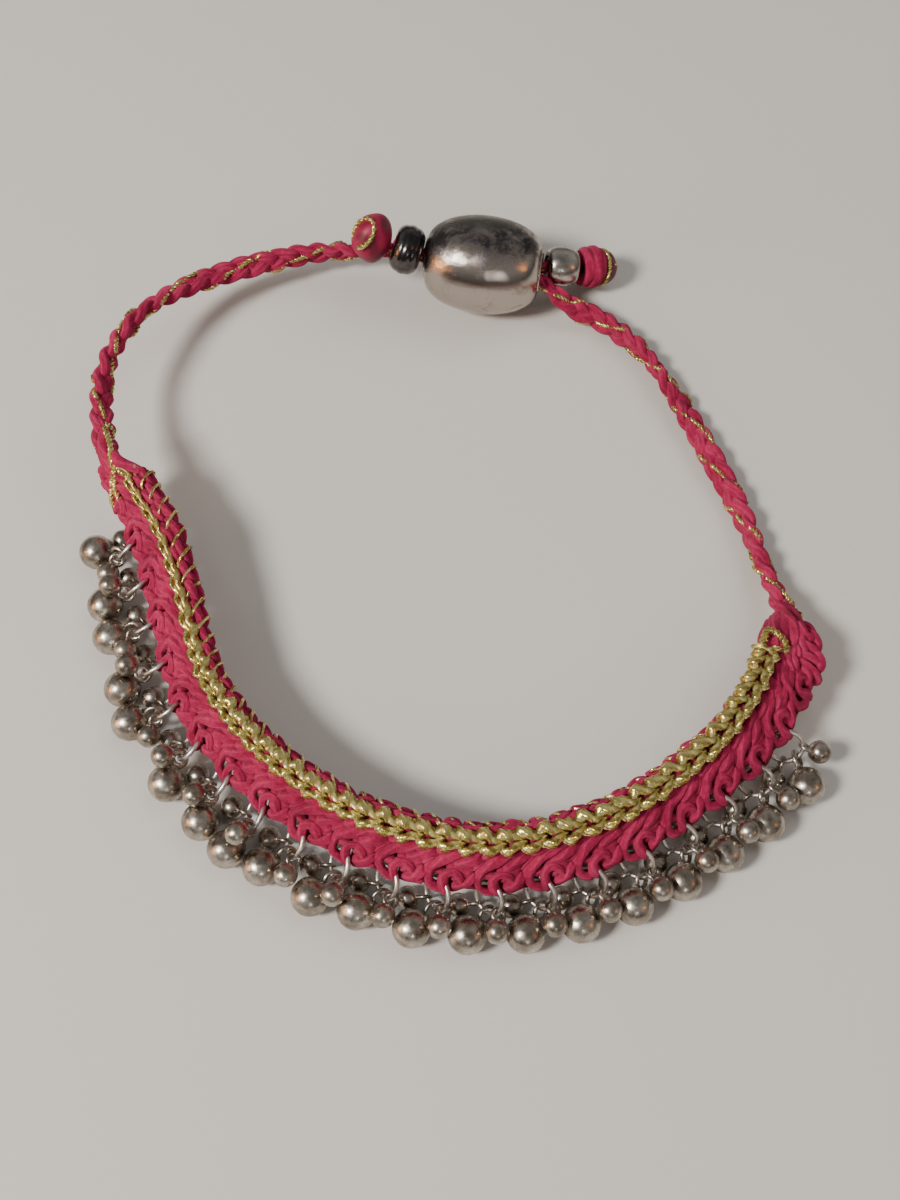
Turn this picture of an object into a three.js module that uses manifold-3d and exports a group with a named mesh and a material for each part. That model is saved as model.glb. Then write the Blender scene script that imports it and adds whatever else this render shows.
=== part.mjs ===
// A friendship bracelet lying open: a crochet band hung with small bells on wire rings,
// and two braided cords that slide through one oval bead. Millimetres, +Z up.
import * as THREE from 'three';
import { mergeVertices } from 'three/addons/utils/BufferGeometryUtils.js';
import loadManifold from 'manifold-3d';

const kernel = await loadManifold();
kernel.setup();
const { Manifold, Mesh: ManifoldMesh } = kernel;

const band = { thick: 1.9, edgeThick: 1.1, topThick: 1.4, bar: 0.55, eyeletHigh: 1.55, eyeletWide: 2.9, scallop: 0.5, firstEyelet: 8.9, pitch: 5.02, charms: 20 };

// lower edge of the band from its left end to its right end, its lean above the table and its width
const bandRows = [
  { x: -38.0, y: 5.0, z: 7.0, lean: 60, width: 2.4 },
  { x: -37.5, y: 2.6, z: 4.8, lean: 42, width: 6.2 },
  { x: -34.0, y: -5.6, z: 4.0, lean: 41, width: 7.4 },
  { x: -31.6, y: -13.4, z: 3.7, lean: 39, width: 7.4 },
  { x: -28.2, y: -22.9, z: 3.5, lean: 38, width: 7.4 },
  { x: -20.3, y: -32.1, z: 3.5, lean: 39, width: 7.4 },
  { x: -8.9, y: -38.9, z: 3.5, lean: 42, width: 7.4 },
  { x: 4.2, y: -41.5, z: 3.5, lean: 44, width: 7.4 },
  { x: 16.6, y: -38.8, z: 3.5, lean: 42, width: 7.4 },
  { x: 27.2, y: -32.4, z: 3.5, lean: 37, width: 7.4 },
  { x: 34.2, y: -26.0, z: 3.8, lean: 31, width: 7.6 },
  { x: 38.5, y: -17.8, z: 4.2, lean: 21, width: 7.3 },
  { x: 37.7, y: -13.7, z: 4.7, lean: 20, width: 3.4 },
];

const chain = { thick: 0.8, gap: 0.3, steps: 34 };
// the chain's course: place along the band, its middle's distance below the upper edge, and its width
const chainRows = [
  [0.9, 0.8, 1.0], [3.5, 2.0, 1.1], [11.5, 1.9, 1.1], [18, 1.4, 1.3], [25, 1.2, 1.7], [31, 1.1, 2.0],
  [45, 1.15, 2.3], [60, 1.3, 2.4], [75, 1.3, 2.4], [92, 1.1, 2.4], [103, 0.6, 2.4], [110, 0.45, 2.4], [115.6, 0.6, 2.6],
];

const ring = { radius: 1.75, wire: 0.25, turn: 45, seat: 1.35 }; // turn: from the band's length, seat: eyelet centre above the edge
const loop = { wire: 0.2, sink: 0.1 };
const largeBell = { radius: 1.95, sides: 10, rows: 5, loop: 0.9, slack: 0.22 };
const smallBell = { radius: 1.22, sides: 10, rows: 4, loop: 0.65, slack: 0.3, around: 50, stem: 0.24 }; // held to the ring by a stem where its loop would be
const bellGap = 0.14;

// degrees by which the rings at the left end lie flatter than the band; the others hang in its plane
const ringLay = [0, 7, 9, 9, 9, 9, 8, 5];
// how far each large bell swings along the band from straight out, left to right
const bellSwing = [
  -3.4, 2.0, -0.4, 2.5, -0.1, 1.3, 2.6, 1.4, -1.7, -0.6, -3.4, -2.6, -3.4, -3.4, -3.4, -3.4, -3.4, -3.4, -3.4, -3.4,
];

const cord = { sides: 8, step: 3.2 };
// route of each cord: x, y, z and its radius, which the beads squeeze
const leftRoute = [
  [-38.1, 6.7, 8.6, 1.45], [-38.9, 10.0, 8.4, 1.45], [-39.7, 14.5, 8.0, 1.45], [-39.4, 20.5, 8.1, 1.45], [-36.6, 27.0, 7.8, 1.45],
  [-31.7, 32.5, 6.3, 1.45], [-24.1, 37.2, 4.8, 1.45], [-16.5, 39.8, 4.1, 1.45], [-9.5, 40.3, 3.9, 1.45], [-5.6, 39.8, 4.2, 1.2],
  [-2.8, 38.1, 5.15, 0.9], [0.5, 37.5, 5.2, 0.9], [4.2, 36.9, 5.2, 0.9], [8.0, 36.5, 5.3, 0.9], [11.3, 35.9, 5.5, 0.8],
  [12.1, 36.5, 5.35, 0.8], [13.8, 36.75, 4.95, 1.05], [15.8, 36.85, 4.55, 1.1],
];
const rightRoute = [
  [36.5, -11.9, 4.5, 1.45], [35.9, -9.0, 3.2, 1.45], [35.1, -4.5, 2.0, 1.45], [33.6, 2.0, 1.5, 1.45], [31.0, 9.5, 1.5, 1.45],
  [27.9, 17.5, 1.5, 1.45], [23.8, 25.8, 1.5, 1.45], [18.4, 31.3, 1.6, 1.45], [15.2, 32.5, 2.4, 1.35], [12.9, 33.25, 4.1, 1.1],
  [11.2, 34.1, 5.3, 0.9], [8.0, 34.6, 6.1, 0.9], [4.1, 35.46, 6.55, 0.9], [0.5, 36.05, 6.6, 0.9], [-2.8, 36.85, 6.75, 0.9],
  [-5.2, 36.85, 7.85, 1.05], [-7.0, 37.2, 8.35, 1.1],
];

const slider = { centre: [4.1, 36.2, 5.9], turn: -9.3, long: 14, radius: 5.9, bore: 2.1, mouth: 2.25, rim: 2.5, sides: 16 };
const smallBeads = {
  left_small_bead: { centre: [-5.2, 36.85, 7.85], towards: [-7.3, 37.25, 8.45], long: 3.5, radius: 3.0, bore: 1.3, rim: 1.7, colour: 0x5a5654 },
  right_small_bead: { centre: [13.8, 36.75, 4.95], towards: [15.8, 36.85, 4.55], long: 3.9, radius: 2.45, bore: 1.3, rim: 1.6, colour: 0xb9b0a4 },
};
const knots = {
  left_knot: { centre: [-9.5, 37.8, 8.9], towards: [-11.5, 38.3, 9.3], halfLong: 2.4, radius: 2.95 },
  right_knot: { centre: [18.3, 38.1, 3.4], towards: [20.2, 38.6, 2.7], halfLong: 2.4, radius: 2.6 },
};

const crimson = { color: 0xb3203f, roughness: 0.85, metalness: 0 };
const gold = { color: 0xb8963c, roughness: 0.35, metalness: 0.9 };
const silver = { color: 0xa79c8c, roughness: 0.3, metalness: 0.95 };

const up = new THREE.Vector3(0, 0, 1);
const radians = THREE.MathUtils.degToRad;

const group = new THREE.Group();
group.name = 'friendship_bracelet';

function addPiece(name, geometry, finish) {
  const mesh = new THREE.Mesh(geometry, new THREE.MeshStandardMaterial(finish));
  mesh.name = name;
  group.add(mesh);
  return mesh;
}

// joins overlapping closed shapes into one closed solid
function fuse(geometries) {
  const solids = geometries.map((geometry) => {
    const plain = geometry.clone();
    plain.deleteAttribute('normal');
    plain.deleteAttribute('uv');
    const merged = mergeVertices(plain, 1e-4);
    return new Manifold(new ManifoldMesh({ numProp: 3, vertProperties: new Float32Array(merged.attributes.position.array), triVerts: new Uint32Array(merged.index.array) }));
  });
  const mesh = Manifold.union(solids).getMesh();
  const geometry = new THREE.BufferGeometry();
  geometry.setAttribute('position', new THREE.BufferAttribute(Float32Array.from(mesh.vertProperties), 3));
  geometry.setIndex(Array.from(mesh.triVerts));
  geometry.computeVertexNormals();
  return geometry;
}

// a closed solid through rings of points, capped at both ends
function loft(sections) {
  const count = sections[0].length;
  const positions = sections.flat().flatMap((p) => [p.x, p.y, p.z]);
  const index = [];
  for (let i = 0; i < sections.length - 1; i++) {
    for (let j = 0; j < count; j++) {
      const a = i * count + j, b = i * count + (j + 1) % count;
      index.push(a, b, b + count, a, b + count, a + count);
    }
  }
  const last = (sections.length - 1) * count;
  for (let j = 1; j < count - 1; j++) {
    index.push(0, j + 1, j, last, last + j, last + j + 1);
  }
  const geometry = new THREE.BufferGeometry();
  geometry.setAttribute('position', new THREE.Float32BufferAttribute(positions, 3));
  geometry.setIndex(index);
  geometry.computeVertexNormals();
  return geometry;
}

// the band's own frame at a distance along its lower edge
const edgeCurve = new THREE.CatmullRomCurve3(bandRows.map((r) => new THREE.Vector3(r.x, r.y, r.z)), false, 'centripetal');
edgeCurve.arcLengthDivisions = 1200;
const bandLength = edgeCurve.getLength();

function bandAt(distance) {
  const t = edgeCurve.getUtoTmapping(THREE.MathUtils.clamp(distance / bandLength, 0, 1));
  const row = Math.min(Math.floor(t * (bandRows.length - 1)), bandRows.length - 2);
  const part = t * (bandRows.length - 1) - row;
  const blend = part * part * (3 - 2 * part);
  const lean = radians(THREE.MathUtils.lerp(bandRows[row].lean, bandRows[row + 1].lean, blend));
  const width = THREE.MathUtils.lerp(bandRows[row].width, bandRows[row + 1].width, blend);
  const edge = edgeCurve.getPoint(t);
  const along = edgeCurve.getTangent(t);
  along.z = 0;
  along.normalize();
  const inward = new THREE.Vector3().crossVectors(up, along);
  const rise = inward.clone().multiplyScalar(Math.cos(lean)).addScaledVector(up, Math.sin(lean));
  const face = new THREE.Vector3().crossVectors(along, rise).normalize(); // out of the side that shows
  return { edge, along, inward, rise, face, width };
}

function onBand(frame, high, out) {
  return frame.edge.clone().addScaledVector(frame.rise, high).addScaledVector(frame.face, out);
}

const eyeletAt = (k) => band.firstEyelet + k * band.pitch;

// crochet band: a leaning wall with an eyelet over each scallop of its lower edge
function buildBand() {
  const columns = [{ at: 0, low: 0 }, { at: 2.2, low: 0.1 }, { at: 5, low: 0.2 }];
  for (let k = 0; k < band.charms; k++) {
    columns.push({ at: eyeletAt(k) - band.eyeletWide / 2, low: 0, eyelet: true });
    columns.push({ at: eyeletAt(k) + band.eyeletWide / 2, low: 0 });
    columns.push({ at: eyeletAt(k) + band.pitch / 2, low: band.scallop });
  }
  const tail = bandLength - columns.at(-1).at;
  for (const share of [0.3, 0.6, 0.82, 1]) columns.push({ at: bandLength - tail * (1 - share), low: 0 });

  const positions = [];
  const rowCount = 5;
  for (const column of columns) {
    const frame = bandAt(column.at);
    const size = Math.min(1, frame.width / 5);
    const highs = [column.low * size, band.bar * size, (band.bar + band.eyeletHigh) * size, 0.62 * frame.width, frame.width];
    const halves = [0.8 * band.edgeThick, band.edgeThick, band.edgeThick, band.thick, band.topThick].map((t) => t / 2);
    highs.forEach((high, i) => positions.push(onBand(frame, high, halves[i])));
    highs.forEach((high, i) => positions.push(onBand(frame, high, -halves[i])));
  }
  const index = [];
  const quad = (a, b, c, d) => index.push(a, b, c, a, c, d);
  const point = (column, row, back) => column * 2 * rowCount + (back ? rowCount : 0) + row;
  for (let c = 0; c < columns.length - 1; c++) {
    for (let r = 0; r < rowCount - 1; r++) {
      const isHole = columns[c].eyelet && r === 1;
      const front = [point(c, r), point(c + 1, r), point(c + 1, r + 1), point(c, r + 1)];
      const back = [point(c, r, true), point(c + 1, r, true), point(c + 1, r + 1, true), point(c, r + 1, true)];
      if (isHole) {
        for (let i = 0; i < 4; i++) quad(front[i], front[(i + 1) % 4], back[(i + 1) % 4], back[i]);
      } else {
        quad(...front);
        quad(...back.reverse());
      }
    }
    quad(point(c, 0, true), point(c + 1, 0, true), point(c + 1, 0), point(c, 0));
    quad(point(c, rowCount - 1), point(c + 1, rowCount - 1), point(c + 1, rowCount - 1, true), point(c, rowCount - 1, true));
  }
  for (let r = 0; r < rowCount - 1; r++) {
    const e = columns.length - 1;
    quad(point(0, r, true), point(0, r), point(0, r + 1), point(0, r + 1, true));
    quad(point(e, r), point(e, r, true), point(e, r + 1, true), point(e, r + 1));
  }
  const geometry = new THREE.BufferGeometry();
  geometry.setAttribute('position', new THREE.Float32BufferAttribute(positions.flatMap((p) => [p.x, p.y, p.z]), 3));
  geometry.setIndex(index);
  geometry.computeVertexNormals();
  addPiece('crochet_band', geometry, crimson);
}

// metallic surface chain: a rounded rib along the upper part of the band's outer side
function buildChain() {
  const sections = [];
  const first = chainRows[0][0];
  const reach = Math.min(chainRows.at(-1)[0], bandLength) - first;
  for (let i = 0; i <= chain.steps; i++) {
    const at = first + reach * i / chain.steps;
    const frame = bandAt(at);
    const next = Math.max(1, chainRows.findIndex((row) => row[0] >= at));
    const [before, after] = [chainRows[next - 1], chainRows[next]];
    const share = (at - before[0]) / (after[0] - before[0]);
    const [, fromTop, wide] = before.map((value, j) => value + (after[j] - value) * share);
    const middle = frame.width - fromTop;
    const base = band.thick / 2 + chain.gap;
    const half = wide / 2;
    const profile = [[-half, base], [-half * 0.6, base + chain.thick * 0.8], [0, base + chain.thick], [half * 0.6, base + chain.thick * 0.8], [half, base]];
    sections.push(profile.map(([high, out]) => onBand(frame, middle + high, out)));
  }
  addPiece('gold_chain', loft(sections.map((s) => s.reverse())), gold);
}

// each wire ring goes through its eyelet, turned so that both of its sides clear the band
function ringAt(k) {
  const frame = bandAt(eyeletAt(k));
  const turn = radians(ring.turn);
  const lay = radians(ringLay[k] ?? 0);
  const face = frame.face.clone().multiplyScalar(Math.cos(lay)).addScaledVector(frame.rise, Math.sin(lay));
  const rise = frame.rise.clone().multiplyScalar(Math.cos(lay)).addScaledVector(frame.face, -Math.sin(lay));
  const across = frame.along.clone().multiplyScalar(Math.cos(turn)).addScaledVector(face, Math.sin(turn));
  const down = rise.clone().negate();
  const centre = onBand(frame, ring.seat, 0).addScaledVector(down, ring.radius);
  const normal = new THREE.Vector3().crossVectors(across, rise);
  return { frame, across, rise, down, normal, centre };
}

function ringPoint(place, degrees) {
  const angle = radians(degrees);
  return place.centre.clone().addScaledVector(place.across, ring.radius * Math.sin(angle)).addScaledVector(place.down, ring.radius * Math.cos(angle));
}

function ringTangent(place, degrees) {
  const angle = radians(degrees);
  return place.across.clone().multiplyScalar(Math.cos(angle)).addScaledVector(place.down, -Math.sin(angle));
}

const reachOf = (bell) => bell.slack + bell.loop + bell.radius - loop.sink;

// where the bells come to lie: each stays at its reach from its ring, above the table and clear of its neighbours
function settleBells(places) {
  const bells = [];
  places.forEach((place, k) => {
    const outward = place.frame.inward.clone().negate();
    const starts = [
      { kind: largeBell, around: 0, along: bellSwing[k], out: 2.6, fall: -0.2 },
      { kind: smallBell, around: smallBell.around, along: -0.2, out: 2.4, fall: -0.6 },
      { kind: smallBell, around: -smallBell.around, along: -1.3, out: 0.6, fall: -1.4 },
    ];
    for (const start of starts) {
      const anchor = ringPoint(place, start.around);
      const at = anchor.clone().addScaledVector(place.frame.along, start.along).addScaledVector(outward, start.out).addScaledVector(up, start.fall);
      bells.push({ ...start, anchor, at, ring: k, reach: reachOf(start.kind), radius: start.kind.radius });
    }
  });
  const apart = new THREE.Vector3(), loopCentre = new THREE.Vector3();
  const keepOff = (bell, point, least, share) => {
    apart.subVectors(bell.at, point);
    const distance = apart.length();
    if (distance < least) bell.at.addScaledVector(apart, share * (least - distance) / Math.max(distance, 1e-6));
  };
  for (let pass = 0; pass < 400; pass++) {
    for (const bell of bells) {
      bell.at.z -= 0.004;
      for (const other of bells) {
        if (other === bell || Math.abs(other.ring - bell.ring) > 2) continue;
        keepOff(bell, other.at, bell.radius + other.radius + bellGap, 0.5);
        loopCentre.copy(other.at).sub(other.anchor).setLength(other.kind.slack).add(other.anchor);
        keepOff(bell, loopCentre, bell.radius + other.kind.loop + loop.wire + bellGap, 1);
      }
      for (let k = Math.max(0, bell.ring - 1); k <= Math.min(places.length - 1, bell.ring + 1); k++) {
        for (let degrees = -180; degrees < 180; degrees += 20) keepOff(bell, ringPoint(places[k], degrees), bell.radius + ring.wire + bellGap, 1);
      }
      for (let step = -2; step <= 2; step++) {
        const frame = bandAt(eyeletAt(bell.ring) + step * band.pitch / 4);
        keepOff(bell, onBand(frame, 0.3, 0), bell.radius + band.edgeThick * 0.6 + bellGap, 1);
      }
      bell.at.z = Math.max(bell.at.z, bell.radius);
      bell.at.sub(bell.anchor).setLength(bell.reach).add(bell.anchor);
    }
  }
  return bells;
}

// ball with a wire loop, or a stem, on its top: loop centre at the origin, ball below it
function bellShape(kind) {
  const drop = kind.loop + kind.radius - loop.sink;
  const ball = new THREE.SphereGeometry(kind.radius, kind.sides, kind.rows);
  ball.translate(0, -drop, 0);
  if (kind.stem) {
    const top = kind.slack, bottom = kind.radius * 0.7 - drop;
    const stem = new THREE.CylinderGeometry(kind.stem, kind.stem, top - bottom, 5);
    return [ball, stem.translate(0, (top + bottom) / 2, 0)];
  }
  const eye = new THREE.TorusGeometry(kind.loop, loop.wire, 5, 10);
  eye.rotateZ(radians(18));
  return [ball, eye];
}

function bellMatrix(bell, place) {
  const rise = bell.anchor.clone().sub(bell.at).normalize();
  const normal = ringTangent(place, bell.around);
  normal.addScaledVector(rise, -normal.dot(rise)).normalize();
  const side = new THREE.Vector3().crossVectors(rise, normal);
  const centre = bell.anchor.clone().addScaledVector(rise, -bell.kind.slack);
  return new THREE.Matrix4().makeBasis(side, rise, normal).setPosition(centre);
}

function buildCharms() {
  const places = Array.from({ length: band.charms }, (_, k) => ringAt(k));
  const bells = settleBells(places);
  places.forEach((place, k) => {
    const number = String(k + 1).padStart(2, '0');
    const wire = new THREE.TorusGeometry(ring.radius, ring.wire, 5, 10);
    wire.rotateZ(radians(90));
    wire.applyMatrix4(new THREE.Matrix4().makeBasis(place.across, place.rise, place.normal).setPosition(place.centre));
    const pieces = [wire];
    for (const bell of bells.filter((b) => b.ring === k)) {
      const shapes = bellShape(bell.kind).map((shape) => shape.applyMatrix4(bellMatrix(bell, place)));
      if (bell.kind === largeBell) addPiece('large_bell_' + number, fuse(shapes), silver);
      else pieces.push(...shapes);
    }
    addPiece('ring_with_bells_' + number, fuse(pieces), silver);
  });
  return bells;
}

function buildCord(name, route) {
  const curve = new THREE.CatmullRomCurve3(route.map(([x, y, z]) => new THREE.Vector3(x, y, z)), false, 'centripetal');
  const steps = Math.round(curve.getLength() / cord.step);
  const { normals, binormals } = curve.computeFrenetFrames(steps, false);
  const sections = normals.map((normal, i) => {
    const t = curve.getUtoTmapping(i / steps) * (route.length - 1);
    const row = Math.min(Math.floor(t), route.length - 2);
    const radius = THREE.MathUtils.lerp(route[row][3], route[row + 1][3], t - row);
    const centre = curve.getPointAt(i / steps);
    return Array.from({ length: cord.sides }, (_, j) => {
      const angle = 2 * Math.PI * (j + 0.5) / cord.sides;
      return centre.clone().addScaledVector(normal, radius * Math.cos(angle)).addScaledVector(binormals[i], radius * Math.sin(angle));
    });
  });
  addPiece(name, loft(sections), crimson);
  return curve.getLength();
}

// turned bead with a bore, its axis along Y
function turnedBead(size, steps) {
  const half = size.long / 2;
  const outline = [];
  for (let i = 0; i <= steps; i++) {
    const angle = Math.PI * (i / steps - 0.5);
    const height = half * Math.sin(angle);
    outline.push(new THREE.Vector2(size.rim + (size.radius - size.rim) * Math.cos(angle), height));
  }
  const mouth = size.mouth ?? size.bore;
  outline.push(new THREE.Vector2(mouth, half), new THREE.Vector2(size.bore, half - 1), new THREE.Vector2(size.bore, 1 - half), new THREE.Vector2(mouth, -half));
  outline.push(outline[0].clone());
  return new THREE.LatheGeometry(outline, size.sides ?? 12);
}

function alignY(geometry, centre, towards) {
  const direction = new THREE.Vector3(...towards).sub(new THREE.Vector3(...centre)).normalize();
  geometry.applyQuaternion(new THREE.Quaternion().setFromUnitVectors(new THREE.Vector3(0, 1, 0), direction));
  geometry.translate(...centre);
  return geometry;
}

function buildClasp() {
  const [x, y, z] = slider.centre;
  const turn = radians(slider.turn);
  addPiece('slider_bead', alignY(turnedBead(slider, 8), slider.centre, [x + Math.cos(turn), y + Math.sin(turn), z]), silver);
  for (const [name, size] of Object.entries(smallBeads)) {
    addPiece(name, alignY(turnedBead(size, 5), size.centre, size.towards), { ...silver, color: size.colour });
  }
  for (const [name, size] of Object.entries(knots)) {
    const ball = new THREE.SphereGeometry(1, 10, 6);
    ball.scale(size.radius, size.halfLong, size.radius);
    addPiece(name, alignY(ball, size.centre, size.towards), crimson);
  }
}

buildBand();
buildChain();
const bells = buildCharms();
const cordLengths = { left_cord: buildCord('left_cord', leftRoute), right_cord: buildCord('right_cord', rightRoute) };
buildClasp();

// the middle of the bracelet's box stands over the origin, its lowest point on the table
const box = new THREE.Box3().setFromObject(group);
const middle = box.getCenter(new THREE.Vector3());
group.position.set(-middle.x, -middle.y, -box.min.z);

export default group;
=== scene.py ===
import math

import bmesh
import bpy
import numpy as np
from mathutils import Matrix, Vector


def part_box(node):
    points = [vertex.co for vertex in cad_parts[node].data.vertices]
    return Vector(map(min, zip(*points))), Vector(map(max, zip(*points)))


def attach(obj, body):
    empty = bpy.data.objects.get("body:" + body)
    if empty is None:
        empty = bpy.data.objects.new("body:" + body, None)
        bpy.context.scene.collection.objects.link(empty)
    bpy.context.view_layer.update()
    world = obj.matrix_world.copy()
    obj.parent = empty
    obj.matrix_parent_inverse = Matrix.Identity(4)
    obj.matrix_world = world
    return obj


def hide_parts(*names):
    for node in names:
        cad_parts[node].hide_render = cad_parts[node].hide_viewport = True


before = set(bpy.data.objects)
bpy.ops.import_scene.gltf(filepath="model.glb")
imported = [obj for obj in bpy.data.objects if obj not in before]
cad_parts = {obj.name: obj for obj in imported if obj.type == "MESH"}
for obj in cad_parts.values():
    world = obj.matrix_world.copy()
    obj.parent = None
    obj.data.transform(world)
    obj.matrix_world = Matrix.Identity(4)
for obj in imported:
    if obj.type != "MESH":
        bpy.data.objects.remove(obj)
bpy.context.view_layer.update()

slider = {"centre": (4.1, 36.2, 5.9), "turn": -9.3, "long": 14, "radius": 5.9, "bore": 2.1, "mouth": 2.25,
          "rim": 2.5, "lip": 0.17, "steps": 72, "sides": 96}
# the bracelet is worked out in millimetres, and the sliding bead ties those to the frame's metres
beadLow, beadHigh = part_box("slider_bead")
toFrame = np.array(Vector(slider["centre"]) - (beadLow + beadHigh) * 500)


def inFrame(points):
    return (np.asarray(points) - toFrame) / 1000


studio = {
    "cameraAt": (0, -78, 133), "pitch": 62, "lens": 40.5, "sensor": 36,
    "floorHalf": 1.2, "floorColour": (0.52, 0.494, 0.458), "roomStrength": 0.66,
    # the room's brightness, from straight down to straight up
    "room": [
        (0, (0.3, 0.29, 0.285)), (0.5, (0.14, 0.137, 0.138)), (0.6, (0.22, 0.215, 0.213)),
        (0.74, (0.5, 0.48, 0.46)), (0.88, (0.42, 0.41, 0.4)), (1, (0.3, 0.295, 0.295)),
    ],
}
# the key lights the yarn and the table, and its smaller spark is what the metal mirrors
keyPlace = {"from": (-0.6, -0.35, 0.72), "away": 0.62, "tint": (1, 0.975, 0.94)}
lights = {
    "key": {**keyPlace, "size": 0.15, "power": 5.4, "inMirrors": False},
    "spark": {**keyPlace, "size": 0.088, "power": 4.4, "onCloth": False},
    "fill": {"from": (0.5, 0.35, 0.8), "away": 0.8, "tint": (0.96, 0.98, 1), "size": 0.7, "power": 2.4,
             "inMirrors": False},
    "front": {"from": (0.12, -0.87, 0.45), "away": 0.7, "tint": (1, 0.98, 0.95), "size": 0.052, "power": 0.26},
    "warm": {"from": (-0.92, -0.28, 0.28), "away": 0.42, "tint": (1, 0.45, 0.16), "size": 0.17, "power": 0.36},
    "lamp": {"from": (0.76, -0.4, 0.5), "away": 0.5, "tint": (1, 0.36, 0.05), "size": 0.1, "power": 0.085},
}


def meshOf(name, bm):
    mesh = bpy.data.meshes.new(name)
    bm.to_mesh(mesh)
    bm.free()
    return mesh


def addObject(name, data):
    thing = bpy.data.objects.new(name, data)
    bpy.context.scene.collection.objects.link(thing)
    return thing


def makeCamera():
    data = bpy.data.cameras.new("camera")
    data.lens, data.sensor_width = studio["lens"], studio["sensor"]
    data.clip_start, data.clip_end = 0.01, 5
    camera = addObject("camera", data)
    camera.location = inFrame(studio["cameraAt"])
    camera.rotation_euler = (math.radians(90 - studio["pitch"]), 0, 0)
    bpy.context.scene.camera = camera


def makeLight(name, lamp):
    data = bpy.data.lights.new(name, "AREA")
    data.shape, data.size, data.energy, data.color = "DISK", lamp["size"], lamp["power"], lamp["tint"]
    light = addObject(name, data)
    towards = Vector(lamp["from"]).normalized()
    light.location = towards * lamp["away"]
    light.rotation_euler = towards.to_track_quat("Z", "Y").to_euler()
    light.visible_glossy = lamp.get("inMirrors", True)
    light.visible_diffuse = lamp.get("onCloth", True)


def makeRoom():
    # dim near the horizon and overhead, and brighter between
    world = bpy.data.worlds.new("room")
    bpy.context.scene.world = world
    world.use_nodes = True
    tree = world.node_tree
    way = addNode(tree, "SeparateXYZ", {"Vector": addNode(tree, "TexCoord").outputs["Generated"]})
    height = mapped(tree, way.outputs["Z"], (-1.0, 1.0), (0.0, 1.0))
    back = tree.nodes["Background"]
    tree.links.new(addRamp(tree, height, studio["room"]), back.inputs["Color"])
    back.inputs["Strength"].default_value = studio["roomStrength"]


def makeFloor():
    bm = bmesh.new()
    bmesh.ops.create_grid(bm, x_segments=1, y_segments=1, size=studio["floorHalf"])
    mesh = meshOf("floor", bm)
    mesh.materials.append(newMaterial("pale_table", studio["floorColour"], 0.75, Specular_IOR_Level=0.2)[0])
    floor = addObject("floor", mesh)


def newMaterial(name, colour, roughness, metallic=0.0, **sockets):
    material = bpy.data.materials.new(name)
    material.use_nodes = True
    shader = material.node_tree.nodes["Principled BSDF"]
    shader.inputs["Base Color"].default_value = (*colour, 1)
    shader.inputs["Roughness"].default_value = roughness
    shader.inputs["Metallic"].default_value = metallic
    for socket, value in sockets.items():
        shader.inputs[socket.replace("_", " ")].default_value = value
    return material, material.node_tree, shader


def plug(tree, shader, **sockets):
    for socket, value in sockets.items():
        tree.links.new(value, shader.inputs[socket.replace("_", " ")])


def addNode(tree, kind, inputs=None, **settings):
    node = tree.nodes.new("ShaderNode" + kind)
    for key, value in settings.items():
        setattr(node, key, value)
    for key, value in (inputs or {}).items():
        if isinstance(value, bpy.types.NodeSocket):
            tree.links.new(value, node.inputs[key])
        else:
            node.inputs[key].default_value = value
    return node


def addMath(tree, operation, *values):
    return addNode(tree, "Math", dict(enumerate(values)), operation=operation).outputs[0]


def scaled(tree, value, by, plus=0.0):
    return addMath(tree, "MULTIPLY_ADD", value, by, plus)


def mapped(tree, value, before, after):
    ends = {"From Min": before[0], "From Max": before[1], "To Min": after[0], "To Max": after[1]}
    return addNode(tree, "MapRange", {"Value": value, **ends}).outputs["Result"]


def addNoise(tree, place, scale, detail, **more):
    inputs = {"Vector": place, "Scale": scale, "Detail": detail, **more}
    return addNode(tree, "TexNoise", inputs).outputs["Fac"]


def addBump(tree, height, strength, distance, **more):
    inputs = {"Height": height, "Strength": strength, "Distance": distance, **more}
    return addNode(tree, "Bump", inputs).outputs["Normal"]


def addRamp(tree, factor, stops):
    ramp = addNode(tree, "ValToRGB", {"Fac": factor})
    elements = ramp.color_ramp.elements
    while len(elements) < len(stops):
        elements.new(0.5)
    for element, (place, colour) in zip(elements, stops):
        element.position = place
        element.color = (*colour, 1)
    return ramp.outputs["Color"]


def rampOf(tree, factor, look, *tones):
    return addRamp(tree, factor, [(stop, look[tone]) for stop, tone in zip(look["stops"], tones)])


def objectPlace(tree):
    return addNode(tree, "TexCoord").outputs["Object"]


def yarnPlace(tree, along, around):
    uv = addNode(tree, "UVMap", uv_map="yarn").outputs["UV"]
    return addNode(tree, "Mapping", {"Vector": uv, "Scale": (along, around, 1)}).outputs["Vector"]


def plySine(tree, look):
    # a sine that runs round the yarn as its plies do
    parts = addNode(tree, "SeparateXYZ", {"Vector": yarnPlace(tree, 1 / look["plyPitch"], look["plies"])})
    turns = addMath(tree, "ADD", parts.outputs["X"], parts.outputs["Y"])
    return addMath(tree, "SINE", addMath(tree, "MULTIPLY", turns, 2 * math.pi))


# scales of noise are per metre, or per millimetre and per turn of the yarn; depths are in metres
cottonLook = {
    "deep": (0.16, 0.004, 0.024), "middle": (0.33, 0.011, 0.056), "light": (0.5, 0.038, 0.112),
    "stops": (0.44, 0.64, 0.86), "cloud": 260.0, "fibre": (2.4, 20), "fuzz": 5200.0,
    "plies": 4, "plyPitch": 3.2, "plyDeep": 0.00006, "fibreDeep": 0.00022, "fuzzDeep": 0.00009,
}
# the core is the same yarn coloured much darker, as painted shade in the gaps between the stitches
coreShadeLook = {
    **cottonLook, "deep": (0.07, 0.002, 0.011), "middle": (0.13, 0.004, 0.02), "light": (0.2, 0.007, 0.034),
}


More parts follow.
